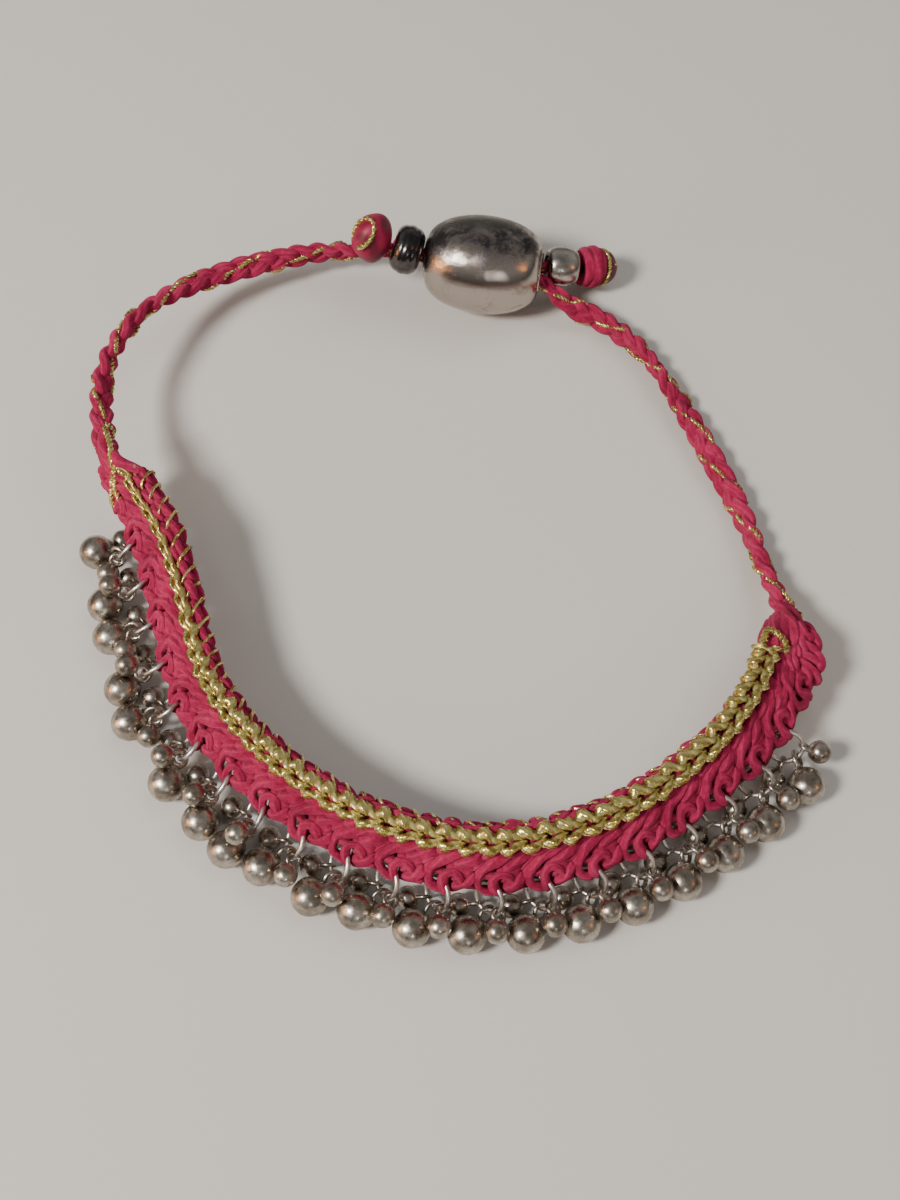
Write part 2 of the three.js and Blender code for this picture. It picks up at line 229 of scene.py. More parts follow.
def makeCotton(name, look):
    material, tree, shader = newMaterial(
        name, look["middle"], 0.85, Sheen_Weight=0.16, Sheen_Roughness=0.5,
        Sheen_Tint=(1, 0.35, 0.5, 1), Specular_IOR_Level=0.2,
    )
    place = objectPlace(tree)
    cloud = addNoise(tree, place, look["cloud"], 3.0, Roughness=0.6)
    fibre = addNoise(tree, yarnPlace(tree, *look["fibre"]), 1.0, 5.0, Roughness=0.7)
    fuzz = addNoise(tree, place, look["fuzz"], 3.0, Roughness=0.7)
    ply = plySine(tree, look)
    # the ply sine also lightens the crests and darkens the grooves a little: painted shade between the plies
    tone = scaled(tree, fibre, 0.65, scaled(tree, cloud, 0.6, scaled(tree, ply, 0.05)))
    bump = addBump(tree, ply, 0.8, look["plyDeep"])
    bump = addBump(tree, fibre, 0.9, look["fibreDeep"], Normal=bump)
    bump = addBump(tree, fuzz, 0.7, look["fuzzDeep"], Normal=bump)
    plug(tree, shader, Base_Color=rampOf(tree, tone, look, "deep", "middle", "light"), Normal=bump)
    return material


lurexLook = {
    "dull": (0.22, 0.155, 0.036), "middle": (0.6, 0.485, 0.135), "bright": (0.98, 0.89, 0.44),
    "stops": (0.16, 0.5, 0.86), "scales": (2.6, 8), "tilt": 0.75, "rough": (0.16, 0.46),
    "plies": 3, "plyPitch": 1.6, "plyDeep": 0.00005,
}


def makeLurex(name, look):
    material, tree, shader = newMaterial(name, look["middle"], 0.3, 0.9)
    place = yarnPlace(tree, *look["scales"])
    foil = addNode(tree, "TexVoronoi", {"Vector": place, "Scale": 1.0, "Randomness": 1.0}).outputs["Color"]
    tint = addNode(tree, "SeparateXYZ", {"Vector": foil})
    ply = plySine(tree, look)
    # the ply sine also lightens the crests and darkens the grooves a little: painted shade between the plies
    tone = scaled(tree, tint.outputs["X"], 0.6, scaled(tree, ply, 0.1, 0.22))
    rough = mapped(tree, tint.outputs["Y"], (0.0, 1.0), look["rough"])
    # each scale of foil is tilted a little its own way
    tilt = addNode(tree, "VectorMath", {0: foil, 1: (0.5, 0.5, 0.5)}, operation="SUBTRACT").outputs[0]
    tilt = addNode(tree, "VectorMath", {0: tilt, "Scale": look["tilt"]}, operation="SCALE").outputs[0]
    bump = addBump(tree, ply, 0.6, look["plyDeep"])
    facing = addNode(tree, "VectorMath", {0: bump, 1: tilt}, operation="ADD").outputs[0]
    facing = addNode(tree, "VectorMath", {0: facing}, operation="NORMALIZE").outputs[0]
    colour = rampOf(tree, tone, look, "dull", "middle", "bright")
    plug(tree, shader, Base_Color=colour, Roughness=rough, Normal=facing)
    return material


# silver that has darkened: clouds of tarnish, brighter where it is rubbed
tarnishLooks = {
    "bell_silver": {"dark": (0.14, 0.11, 0.085), "middle": (0.38, 0.335, 0.28), "bright": (0.64, 0.59, 0.52),
                    "cloud": 640.0, "stops": (0.28, 0.5, 0.7), "rough": (0.22, 0.4), "dent": 0.00006},
    "wire_silver": {"dark": (0.3, 0.26, 0.23), "middle": (0.6, 0.56, 0.51), "bright": (0.82, 0.78, 0.73),
                    "cloud": 900.0, "stops": (0.26, 0.46, 0.66), "rough": (0.3, 0.44), "dent": 0.00003},
    "gunmetal": {"dark": (0.045, 0.04, 0.04), "middle": (0.11, 0.102, 0.1), "bright": (0.22, 0.2, 0.195),
                 "cloud": 420.0, "stops": (0.3, 0.52, 0.76), "rough": (0.14, 0.26), "dent": 0.00002},
    "small_bead": {"dark": (0.24, 0.21, 0.19), "middle": (0.46, 0.42, 0.38), "bright": (0.66, 0.62, 0.57),
                   "cloud": 420.0, "stops": (0.28, 0.5, 0.7), "rough": (0.2, 0.32), "dent": 0.00002},
}


def makeTarnished(name, look):
    material, tree, shader = newMaterial(name, look["middle"], 0.3, 1.0)
    place = objectPlace(tree)
    cloud = addNoise(tree, place, look["cloud"], 5.0, Roughness=0.62)
    fine = addNoise(tree, place, look["cloud"] * 3.5, 3.0)
    rough = mapped(tree, fine, (0.3, 0.7), look["rough"])
    bump = addBump(tree, cloud, 0.5, look["dent"])
    colour = rampOf(tree, cloud, look, "dark", "middle", "bright")
    plug(tree, shader, Base_Color=colour, Roughness=rough, Normal=bump)
    return material


# the sliding bead: tarnish clouds, a painted dark reflection over its upper side and a painted pale reflection
# at its crown; skyward is the way up as the camera sees the bead
bigBeadLook = {
    "clean": (0.47, 0.41, 0.365), "warm": (0.36, 0.3, 0.26), "grey": (0.19, 0.17, 0.17),
    "dark": (0.07, 0.062, 0.064), "crownReflection": (0.3, 0.285, 0.25), "stops": (0.3, 0.44, 0.55, 0.7),
    "cloud": 330.0, "speck": 1800.0, "rough": (0.07, 0.34), "speckRough": 0.09, "dent": 0.00008,
    "skyward": (0, 0.73, 0.68), "tarnishAndReflectionFrom": (-0.0012, 0.0024), "crownReflectionFrom": (0.0036, 0.0056),
}


def makeBigBeadSilver(name, look):
    material, tree, shader = newMaterial(name, look["clean"], 0.15, 1.0)
    place = objectPlace(tree)
    middle = tuple(inFrame(slider["centre"]))
    inside = addNode(tree, "VectorMath", {0: place, 1: middle}, operation="SUBTRACT").outputs[0]
    height = addNode(tree, "VectorMath", {0: inside, 1: look["skyward"]}, operation="DOT_PRODUCT")
    height = height.outputs["Value"]
    cloud = addNoise(tree, place, look["cloud"], 8.0, Roughness=0.74, Distortion=0.5)
    # the upper side, away from the band, is darker: tarnish clouds together with a painted dark reflection of
    # the room; near the crown it gives way to a paler painted reflection of the table behind
    share = scaled(tree, cloud, 1.9, mapped(tree, height, look["tarnishAndReflectionFrom"], (-0.72, -0.34)))
    colour = rampOf(tree, share, look, "clean", "warm", "grey", "dark")
    crownReflection = mapped(tree, height, look["crownReflectionFrom"], (0.0, 0.75))
    mixed = addNode(tree, "Mix", {"Factor": crownReflection, 6: colour, 7: (*look["crownReflection"], 1)}, data_type="RGBA")
    speck = scaled(tree, addNoise(tree, place, look["speck"], 4.0), look["speckRough"])
    rough = addMath(tree, "ADD", mapped(tree, share, (0.28, 0.62), look["rough"]), speck)
    bump = addBump(tree, share, 0.45, look["dent"])
    plug(tree, shader, Base_Color=mixed.outputs[2], Roughness=rough, Normal=bump)
    return material


singedLook = {"cloud": 420.0, "stops": (0.35, 0.52, 0.7), "dent": 0.00018}


def makeSinged(name, colour, look):
    material, tree, shader = newMaterial(name, colour, 0.5, Specular_IOR_Level=0.4)
    cloud = addNoise(tree, objectPlace(tree), look["cloud"], 4.0)
    dark = tuple(0.45 * c for c in colour)
    light = tuple(min(1, 1.25 * c + 0.01) for c in colour)
    tone = addRamp(tree, cloud, list(zip(look["stops"], (dark, colour, light))))
    plug(tree, shader, Base_Color=tone, Normal=addBump(tree, cloud, 0.6, look["dent"]))
    return material


def toObject(name, bm, finish, replaced=()):
    meshPiece(name, meshOf(name, bm), finish, replaced)


def meshPiece(name, mesh, finish, replaced=()):
    # a finished mesh in millimetres becomes a smooth piece in the frame
    material, slot = finish
    writePoints(mesh, inFrame(readPoints(mesh)))
    mesh.shade_smooth()
    mesh.materials.clear()
    mesh.materials.append(material)
    piece = addObject(name, mesh)
    if replaced:
        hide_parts(*replaced)
    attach(piece, "root")
    print("made", name, len(mesh.polygons), "faces")


def readPoints(mesh):
    flat = np.empty(len(mesh.vertices) * 3)
    mesh.vertices.foreach_get("co", flat)
    return flat.reshape(-1, 3)


def writePoints(mesh, points):
    mesh.vertices.foreach_set("co", np.asarray(points, float).ravel())
    mesh.update()


def rolledGrid(bm, steps, sides, surface, length=1.0):
    # a flat grid is rolled up on to a surface given by two shares, along and around, and its seam is closed
    one = newBm()
    bmesh.ops.create_grid(one, x_segments=steps, y_segments=sides, size=0.5, calc_uvs=True)
    mesh = bpy.data.meshes.new("roll")
    one.to_mesh(mesh)
    flat = readPoints(mesh)
    writePoints(mesh, surface(flat[:, 0] + 0.5, flat[:, 1] + 0.5))
    layer = mesh.uv_layers["yarn"].data
    uv = np.empty(len(layer) * 2)
    layer.foreach_get("uv", uv)
    layer.foreach_set("uv", (uv.reshape(-1, 2) * (length, 1)).ravel())
    one.clear()
    one.from_mesh(mesh)
    bmesh.ops.remove_doubles(one, verts=one.verts, dist=2e-4)
    bmesh.ops.recalc_face_normals(one, faces=one.faces)
    one.to_mesh(mesh)
    one.free()
    bm.from_mesh(mesh)
    bpy.data.meshes.remove(mesh)


def newBm():
    bm = bmesh.new()
    bm.loops.layers.uv.new("yarn")
    return bm


def curveTable(points, perSpan=24):
    # a smooth curve through given points; columns after the third, such as a radius, are carried along
    rows = np.array(points, float)
    p = rows[:, :3]
    ends = np.vstack([2 * p[0] - p[1], p, 2 * p[-1] - p[-2]])
    places = []
    for i in range(len(p) - 1):
        before, start, end, after = ends[i:i + 4]
        steps = (before, start), (start, end), (end, after)
        first, here, last = (max(np.linalg.norm(b - a), 1e-4) ** 0.5 for a, b in steps)
        leave = ((start - before) / first - (end - before) / (first + here) + (end - start) / here) * here
        reach = ((end - start) / here - (after - start) / (here + last) + (after - end) / last) * here
        w = np.linspace(0, 1, perSpan + 1)[:, None][:-1 if i < len(p) - 2 else None]
        square, cube = 3 * (end - start) - 2 * leave - reach, 2 * (start - end) + leave + reach
        curve = start + leave * w + square * w**2 + cube * w**3
        places.append(np.hstack([curve, i + w, rows[i, 3:] + (rows[i + 1, 3:] - rows[i, 3:]) * w]))
    table = np.vstack(places)
    return runLengths(table[:, :3]), table


def runLengths(points):
    return np.concatenate([[0], np.cumsum(np.linalg.norm(np.diff(points, axis=0), axis=1))])


def pick(at, lengths, columns):
    return np.stack([np.interp(at, lengths, columns[:, i]) for i in range(columns.shape[1])], axis=1)


def unit(vectors):
    return vectors / np.maximum(np.linalg.norm(vectors, axis=-1, keepdims=True), 1e-12)


def carriedFrames(centres):
    # two sides at right angles to the route at each point, carried along it without twisting
    tangents = unit(np.gradient(centres, axis=0))
    side = np.cross((0, 0, 1), tangents[0])
    if np.linalg.norm(side) < 1e-3:
        side = np.cross((1, 0.2, 0), tangents[0])
    sides = [side / np.linalg.norm(side)]
    for tangent in tangents[1:]:
        side = sides[-1] - tangent * np.dot(sides[-1], tangent)
        sides.append(side / np.linalg.norm(side))
    sides = np.array(sides)
    return sides, np.cross(tangents, sides)


def addStrand(bm, centres, radii, sides=8, lobes=0, lobeDeep=0.0, lobePitch=1.0, flat=1.0):
    # a tube with rounded closed ends along evenly spaced centres
    radii = np.broadcast_to(np.asarray(radii, float), (len(centres),))
    lengths = runLengths(centres)
    side, over = carriedFrames(centres)
    fromEnd = np.minimum(lengths, lengths[-1] - lengths)
    closing = np.sqrt(np.clip(1 - (1 - np.minimum(fromEnd / np.maximum(radii, 1e-6), 1)) ** 2, 0, 1))
    steps = len(centres) - 1

    def surface(along, around):
        i = np.rint(along * steps).astype(int)
        angle = 2 * math.pi * around
        turned = angle + 2 * math.pi * lengths[i] / lobePitch if lobes else angle
        grow = (radii * closing)[i] * (1 + lobeDeep * np.cos(lobes * angle))
        wide, high = grow * np.cos(turned), flat * grow * np.sin(turned)
        return centres[i] + side[i] * wide[:, None] + over[i] * high[:, None]

    rolledGrid(bm, steps, sides, surface, length=lengths[-1])


def addYarn(bm, rows, radius, step=0.32, sides=8, **look):
    # a strand through given rows of x, high, out and thickness
    lengths, table = curveTable(rows)
    count = max(5, round(lengths[-1] / step))
    even = pick(np.linspace(0, lengths[-1], count + 1), lengths, table)
    addStrand(bm, even[:, :3], radius * even[:, 4], sides, **look)


def repeated(bm, count, pitch):
    # the pattern's repeats along the band, from an array
    mesh = meshOf("repeat", bm)
    pattern = addObject("repeat", mesh)
    array = pattern.modifiers.new("repeat", "ARRAY")
    array.count = count
    array.use_relative_offset = False
    array.use_constant_offset = True
    array.constant_offset_displace = (pitch, 0, 0)
    graph = bpy.context.evaluated_depsgraph_get()
    result = bpy.data.meshes.new_from_object(pattern.evaluated_get(graph))
    bpy.data.objects.remove(pattern)
    bpy.data.meshes.remove(mesh)
    return result


# the band's lower edge, left end to right end, with its lean over the table in degrees and its width
bandRows = [
    (-38, 5, 7, 60, 2.4), (-37.5, 2.6, 4.8, 42, 6.2), (-34, -5.6, 4, 41, 7.4), (-31.6, -13.4, 3.7, 39, 7.4),
    (-28.2, -22.9, 3.5, 38, 7.4), (-20.3, -32.1, 3.5, 39, 7.4), (-8.9, -38.9, 3.5, 42, 7.4),
    (4.2, -41.5, 3.5, 44, 7.4), (16.6, -38.8, 3.5, 42, 7.4), (27.2, -32.4, 3.5, 37, 7.4),
    (34.2, -26, 3.8, 31, 7.6), (38.5, -17.8, 4.2, 21, 7.3), (37.7, -13.7, 4.7, 20, 3.4),
]
band = {"width": 7.4, "charms": 20, "firstEyelet": 8.9, "pitch": 5.02, "yarn": 0.55, "repeats": 22,
        "rowRepeats": 46, "rowFrom": 0.4, "uneven": 0.09}


def bandTable():
    lengths, table = curveTable([row[:3] for row in bandRows], 100)
    place = table[:, 3]
    row = np.minimum(place.astype(int), len(bandRows) - 2)
    part = place - row
    blend = part * part * (3 - 2 * part)
    shape = np.array([r[3:] for r in bandRows], float)
    lean, width = (shape[row] + (shape[row + 1] - shape[row]) * blend[:, None]).T
    along = np.gradient(table[:, :3], axis=0)
    along[:, 2] = 0
    along = unit(along)
    inward = np.stack([-along[:, 1], along[:, 0], np.zeros(len(along))], axis=1)
    lean = np.radians(lean)[:, None]
    rise = inward * np.cos(lean) + np.array([0, 0, 1]) * np.sin(lean)
    face = unit(np.cross(along, rise))
    return lengths, np.hstack([table[:, :3], along, rise, face, width[:, None]])


bandLengths, bandFrames = bandTable()
bandLong = bandLengths[-1]


def onBand(at, high, out):
    # a place on the band: along its lower edge, up its slope, and out of the side that shows
    at, high, out = (np.atleast_1d(np.asarray(v, float)) for v in (at, high, out))
    inside = np.clip(at, 0, bandLong)
    place = pick(inside, bandLengths, bandFrames)
    foot, along, upBand, outOfBand = place[:, :3], place[:, 3:6], place[:, 6:9], place[:, 9:12]
    return foot + along * (at - inside)[:, None] + upBand * high[:, None] + outOfBand * out[:, None]


def bandWidth(at):
    return np.interp(np.clip(at, 0, bandLong), bandLengths, bandFrames[:, 12])


def bentToBand(mesh, shift):
    # flat stitches are laid on the band's slope, each a little out of line as worked by hand
    points = readPoints(mesh)
    points[:, 0] += shift
    writePoints(mesh, points)
    x, high, out = readPoints(mesh).T
    slip = np.sin(1.31 * x + 1.7 * high) + 0.8 * np.sin(0.47 * x - 2.3 * high + 1)
    slip = band["uneven"] * (slip + 0.6 * np.sin(2.9 * x + 0.6))
    lift = band["uneven"] * (np.sin(0.83 * x + 2.1 * high + 2) + 0.7 * np.sin(1.9 * x - 1.2 * high))
    swell = band["uneven"] * (0.7 * np.sin(0.61 * x + 1.3 * high + 0.4) + 0.5 * np.sin(2.2 * x + 2))
    size = bandWidth(x) / band["width"]
    writePoints(mesh, onBand(x + slip, (high + lift) * size, out + np.sign(out) * swell))


# strands of one repeat of the scalloped edge: along, up the band, out of its face, and thickness
edgeStrands = {
    "longLoop": [
        (3, 4.75, 0.45, 0.75), (2.1, 4.42, 0.74, 1.05), (1.2, 4.08, 0.84, 1.14), (0.1, 3.62, 0.88, 1.14),
        (-0.62, 3.05, 0.86, 1.06), (-1, 2.35, 0.8, 1), (-1.08, 1.6, 0.66, 0.94), (-0.85, 0.9, 0.56, 0.88),
        (-0.25, 0.5, 0.48, 0.86), (0.45, 0.38, 0.25, 0.8), (0.95, 0.5, -0.2, 0.7),
    ],
    "arch": [
        (0.95, 0.02, 0.1, 0.88), (0.72, 0.42, 0.52, 0.94), (0.56, 1.05, 0.74, 0.96), (0.46, 1.7, 0.82, 0.9),
        (0.62, 2.25, 0.92, 0.86), (1.15, 2.58, 1, 0.88), (1.75, 2.46, 1, 0.9), (2.15, 2, 0.9, 0.88),
        (2.1, 1.5, 0.68, 0.8), (1.8, 1.2, 0.38, 0.7),
    ],
    "leaf": [
        (1.35, 0.88, 0.4, 0.75), (1.9, 1.1, 0.72, 0.92), (2.7, 1.48, 0.86, 1), (3.3, 1.95, 0.82, 0.95),
        (3.75, 2.5, 0.52, 0.8),
    ],
    "highLeaf": [
        (1.3, 3.15, 0.45, 0.75), (1.95, 3.4, 0.8, 1.04), (2.8, 3.72, 0.88, 1.12), (3.7, 4.08, 0.8, 1.04),
        (4.6, 4.45, 0.42, 0.7),
    ],
    "fill": [(-1.75, 2.7, 0.3, 0.9), (-1.5, 3.1, 0.52, 1), (-0.9, 3.7, 0.56, 1.05), (-0.1, 4.2, 0.5, 0.95)],
    "lintel": [
        (-1.3, 2.2, 0.25, 0.8), (-0.6, 2.35, 0.42, 0.95), (0.1, 2.2, 0.45, 0.95), (0.7, 1.9, 0.3, 0.8),
    ],
    "under": [(0.4, 2.95, 0.45, 1), (1.6, 2.95, 0.52, 1.2), (2.7, 2.95, 0.52, 1.2), (3.6, 3.25, 0.45, 1)],
    "underLow": [(1, 1.5, 0.1, 0.9), (1.6, 1.9, 0.35, 1.15), (2.8, 2.4, 0.42, 1.15), (3.6, 2.2, 0.3, 1)],
    "underEdge": [(1, 0.45, 0, 0.8), (1.9, 0.62, 0.12, 1), (2.9, 0.95, 0.12, 1), (3.7, 0.75, 0.05, 0.8)],
}
# strands of one stitch of the rows above and of the band's inner side
rowStrands = {
    "upperLeaf": [
        (0, 4.22, 0.4, 0.7), (0.7, 4.46, 0.72, 1), (1.6, 4.74, 0.8, 1.06), (2.5, 5.02, 0.7, 0.95),
        (3.2, 5.3, 0.4, 0.7),
    ],
    "underChain": [(0, 5.5, 0.42, 1), (0.9, 5.9, 0.58, 1.2), (1.8, 6.1, 0.58, 1.2), (2.7, 5.9, 0.42, 1)],
    "topLeaf": [
        (-0.2, 6.72, 0.55, 0.65), (0.5, 6.92, 0.62, 0.84), (1.3, 7.02, 0.52, 0.88), (2.1, 7.06, 0.3, 0.8),
        (2.9, 6.95, -0.05, 0.65),
    ],
    "topBack": [(0.4, 7, -0.1, 0.7), (1.2, 6.95, -0.48, 0.92), (2.1, 6.75, -0.6, 0.95), (3, 6.5, -0.45, 0.7)],
    "backHigh": [
        (0, 5.5, -0.45, 0.8), (0.8, 5.95, -0.7, 1.05), (1.8, 6.05, -0.7, 1.05), (2.7, 5.6, -0.45, 0.8),
    ],
    "backUpper": [
        (0.2, 4.3, -0.45, 0.8), (1, 4.8, -0.74, 1.08), (2, 4.9, -0.74, 1.08), (2.9, 4.4, -0.45, 0.8),
    ],
    "backMiddle": [
        (0, 3.1, -0.45, 0.8), (0.8, 3.6, -0.72, 1.08), (1.8, 3.7, -0.72, 1.08), (2.7, 3.2, -0.45, 0.8),
    ],
    "backLow": [(0.2, 2.1, -0.36, 0.8), (1, 2.5, -0.62, 1), (2, 2.55, -0.62, 1), (2.9, 2.1, -0.36, 0.8)],
}


def repeatedStitches(strands, count, pitch, start):
    bm = newBm()
    for rows in strands.values():
        addYarn(bm, rows, band["yarn"])
    mesh = repeated(bm, count, pitch)
    bentToBand(mesh, start)
    return mesh


def buildStitches():
    bm = newBm()
    edgeFrom = band["firstEyelet"] - band["pitch"]
    bm.from_mesh(repeatedStitches(edgeStrands, band["repeats"], band["pitch"], edgeFrom))
    bm.from_mesh(repeatedStitches(rowStrands, band["rowRepeats"], band["pitch"] / 2, band["rowFrom"]))
    addEndStitches(bm)
    toObject("crochet_stitches", bm, cotton, ["crochet_band"])


endStitches = {
    "leftFrom": 0.2, "leftTo": 1.8, "rightFrom": 112.6, "pitch": 1.45, "slant": 0.9,
    "middleSpans": ((0.6, 5.6), (106.6, 116)), "middleHighs": (3.1, 4), "steps": 10,
}
# a strand of the ends' middle rows: along, up from its row, out and thickness
middleStrand = [(-0.2, -0.5, 0.4, 0.7), (0.6, 0, 0.8, 1.05), (1.6, 0.4, 0.86, 1.12), (2.6, 0.8, 0.42, 0.7)]


def addEndStitches(bm):
    # strands that go over the lower edge where it carries no rings
    starts = list(np.arange(endStitches["leftFrom"], endStitches["leftTo"], endStitches["pitch"]))
    starts += list(np.arange(endStitches["rightFrom"], bandLong, endStitches["pitch"]))
    for at in starts:
        share = bandWidth(at) / band["width"]
        slant = endStitches["slant"] * math.sin(4.1 * at)
        rows = np.array([
            (at + 0.9 + slant, 2.9 * share, 0.5, 1), (at + 0.55 + 0.6 * slant, 2.1 * share, 0.86, 1),
            (at + 0.1 + 0.2 * slant, 1.1, 0.95, 1), (at - 0.2, 0.25, 0.72, 1), (at - 0.25, -0.25, 0.1, 1),
            (at - 0.1, 0.2, -0.6, 1), (at + 0.1, 1.3 * share, -0.7, 1), (at + 0.4, 2.4 * share, -0.5, 1),
        ])
        addYarn(bm, laidRows(rows), band["yarn"] * (1.0 + 0.1 * math.sin(5 * at)), sides=10)
    # middle rows of the ends, where the edge pattern has no long loops
    for first, last in endStitches["middleSpans"]:
        for at in np.arange(first, last, band["pitch"] / 2):
            for high in endStitches["middleHighs"]:
                rows = [(at + x, high + y, out, thick) for x, y, out, thick in middleStrand]
                lengths, table = curveTable(rows)
                even = pick(np.linspace(0, lengths[-1], endStitches["steps"] + 1), lengths, table)
                size = bandWidth(even[:, 0]) / band["width"]
                path = onBand(even[:, 0], even[:, 1] * size, even[:, 2])
                addStrand(bm, path, band["yarn"] * even[:, 4] * size)


core = {"thick": 0.34, "low": 0.45, "high": 6.95, "column": 0.42, "rows": 16,
        "eyeletHigh": 1.3, "eyeletHalf": (0.95, 0.62)}


def buildCore():
    # the yarn behind the stitches, open at each eyelet, coloured darker as painted shade between the stitches
    bm = newBm()
    columns = round(bandLong / core["column"])
    bmesh.ops.create_grid(bm, x_segments=columns, y_segments=core["rows"], size=0.5)
    for vert in bm.verts:
        vert.co.x = (vert.co.x + 0.5) * bandLong
        vert.co.y = core["low"] + (vert.co.y + 0.5) * (core["high"] - core["low"])
    halfWide, halfHigh = core["eyeletHalf"]
    eyelets = [band["firstEyelet"] + k * band["pitch"] for k in range(band["charms"])]
    inEyelets = []
    for face in bm.faces:
        middle = face.calc_center_median()
        aside = min(abs(middle.x - eyelet) / halfWide for eyelet in eyelets)
        if aside**2 + ((middle.y - core["eyeletHigh"]) / halfHigh) ** 2 < 1:
            inEyelets.append(face)
    bmesh.ops.delete(bm, geom=inEyelets, context="FACES")
    bmesh.ops.solidify(bm, geom=bm.faces[:], thickness=core["thick"])
    mesh = meshOf("crochet_core", bm)
    x, high, out = readPoints(mesh).T
    writePoints(mesh, onBand(x, high * bandWidth(x) / band["width"], out - out.mean()))
    meshPiece("crochet_core", mesh, shadedCoreCotton)


# one stitch of the metallic chain is two leaves, fat at their left ends, that close together to the right
goldChain = {
    "startAt": 0.9, "endBefore": 3.0, "pitch": 2.25, "thick": 0.47, "bury": 0.92, "fullWide": 2.4,
    "lag": 0.35, "least": 0.3, "bendFrom": 0.9, "bend": 0.55,
}
# its course: place along the band, its middle's distance below the upper edge, and its width
chainRows = [
    (0.9, 0.8, 1), (3.5, 2, 1.1), (11.5, 1.9, 1.1), (18, 1.4, 1.3), (25, 1.2, 1.7), (31, 1.1, 2),
    (45, 1.15, 2.3), (60, 1.3, 2.4), (75, 1.3, 2.4), (92, 1.1, 2.4), (103, 0.6, 2.4), (110, 0.45, 2.4),
    (115.6, 0.6, 2.6),
]
chainLeaf = [
    (-0.35, 0.42, 0.1, 0.6), (-0.05, 0.72, 0.42, 0.92), (0.45, 0.84, 0.66, 1.08), (1.05, 0.72, 0.72, 1.06),
    (1.7, 0.48, 0.62, 0.94), (2.3, 0.24, 0.4, 0.76), (2.8, 0.08, 0.12, 0.55),
]


def buildChain():
    bm = newBm()
    for hand, forth in ((1, 0), (-1, goldChain["lag"])):
        rows = [(x + forth, high * hand, out, thick) for x, high, out, thick in chainLeaf]
        addYarn(bm, rows, goldChain["thick"], step=0.2, sides=12, lobes=3, lobeDeep=0.1, lobePitch=2.8)
    reach = bandLong - goldChain["startAt"] - goldChain["endBefore"]
    count = round(reach / goldChain["pitch"])
    mesh = repeated(bm, count, reach / count)
    x, high, out = readPoints(mesh).T
    at = x + goldChain["startAt"]
    places, fromTops, widths = np.array(chainRows).T
    wide = np.interp(at, places, widths) / goldChain["fullWide"]
    slip = 0.1 * np.sin(1.7 * x) + 0.06 * np.sin(3.9 * x + 1)
    place = bandWidth(at) - np.interp(at, places, fromTops) + (high + slip) * wide
    swell = (goldChain["least"] + (1 - goldChain["least"]) * wide) * (1 + 0.12 * np.sin(2.7 * x))
    # it bends with the band's round upper edge
    over = np.clip(place - bandWidth(at) + goldChain["bendFrom"], 0, 3)
    writePoints(mesh, onBand(at, place, goldChain["bury"] + out * swell - goldChain["bend"] * over))
    meshPiece("gold_chain_links", mesh, lurex, ["gold_chain"])


# the winding lies a little higher at the left end, by leftLift, and evens out over its first stretch
whipping = {
    "thick": 0.18, "pitch": 2.1, "slant": 0.27, "high": 0.8, "out": 0.98, "below": 0.66,
    "startAt": 1.0, "endBefore": 1.5, "step": 0.07, "leftLift": 0.13, "evenAt": 30,
}


def buildWhipping():
    # metallic thread wound over the band's upper edge, slanting along it where it shows
    pitch = whipping["pitch"]
    first, last = whipping["startAt"] / pitch, (bandLong - whipping["endBefore"]) / pitch
    turns = np.arange(first, last, whipping["step"])
    angle = 2 * math.pi * turns
    at = pitch * (turns + whipping["slant"] * np.sin(angle - 0.8))
    lift = whipping["leftLift"] * np.clip(1 - at / whipping["evenAt"], -1.7, 1)
    high = bandWidth(at) - whipping["below"] + (whipping["high"] + lift) * np.cos(angle)
    out = -0.05 + (whipping["out"] + lift) * np.sin(angle)
    bm = newBm()
    addStrand(bm, onBand(at, high, out), whipping["thick"], sides=6)
    toObject("gold_whipping", bm, lurex)


# routes of the cords, from the band's corners: x, y, z and half the braid's width
leftRoute = [
    (-38.1, 6.7, 8.6, 1.45), (-38.9, 10, 8.4, 1.45), (-39.7, 14.5, 8, 1.45), (-39.4, 20.5, 8.1, 1.45),
    (-36.6, 27, 7.8, 1.45), (-31.7, 32.5, 6.3, 1.45), (-24.1, 37.2, 4.8, 1.45), (-16.5, 39.8, 4.1, 1.45),
    (-9.5, 40.3, 3.9, 1.45), (-5.6, 39.8, 4.2, 1.2), (-2.8, 38.1, 5.15, 0.9), (0.5, 37.5, 5.2, 0.9),
    (4.2, 36.9, 5.2, 0.9), (8, 36.5, 5.3, 0.9), (11.3, 35.9, 5.5, 0.8), (12.1, 36.5, 5.35, 0.8),
    (13.8, 36.75, 4.95, 1.05), (15.8, 36.85, 4.55, 1.1),
]
rightRoute = [
    (36.5, -11.9, 4.5, 1.45), (35.9, -9, 3.2, 1.45), (35.1, -4.5, 2, 1.45), (33.6, 2, 1.5, 1.45),
    (31, 9.5, 1.5, 1.45), (27.9, 17.5, 1.5, 1.45), (23.8, 25.8, 1.5, 1.45), (18.4, 31.3, 1.6, 1.45),
    (15.2, 32.5, 2.4, 1.35), (12.9, 33.25, 4.1, 1.1), (11.2, 34.1, 5.3, 0.9), (8, 34.6, 6.1, 0.9),
    (4.1, 35.46, 6.55, 0.9), (0.5, 36.05, 6.6, 0.9), (-2.8, 36.85, 6.75, 0.9), (-5.2, 36.85, 7.85, 1.05),
    (-7, 37.2, 8.35, 1.1),
]
braid = {
    "full": 1.45, "period": 8.1, "wide": 0.72, "deep": 0.4, "yarn": 0.53, "pair": 0.21, "turnEvery": 60,
    "goldThick": 0.27, "goldDash": 2.7, "goldDip": 0.4, "goldLobes": 0.25, "step": 0.3,
    # the braid's turn at its start, the gold thread's turn there, and the length in which that winds once
    "left": (0, 3.5, 20.6), "right": (0.3, 3.33, 16),
}


